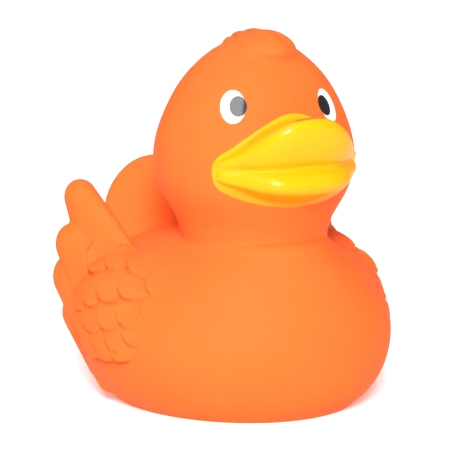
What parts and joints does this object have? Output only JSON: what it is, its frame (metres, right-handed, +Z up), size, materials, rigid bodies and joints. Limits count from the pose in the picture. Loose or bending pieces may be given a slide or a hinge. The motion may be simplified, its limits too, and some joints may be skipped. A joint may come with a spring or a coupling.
{
  "type": "rubber duck",
  "caption": "Hollow soft-vinyl bath duck with a round body, large head, broad open bill, feathered wings and a squeaker in its flat base.",
  "frame": {"origin": "centre of the duck's outline on the flat base it stands on", "axes": "+Z up, -Y the way the duck faces, X = 0 its mirror plane"},
  "size_m": [0.0779, 0.0795, 0.0865],
  "materials": {
    "orange_vinyl": "matt soft vinyl",
    "white_plastic": "satin moulded",
    "grey_plastic": "satin moulded",
    "reed_film": "smooth film"
  },
  "bodies": {
    "root": {"duck_body": "orange_vinyl", "squeaker_housing": "white_plastic", "squeaker_reed_seat": "grey_plastic", "squeaker_reed": "reed_film"}
  },
  "joints": []
}
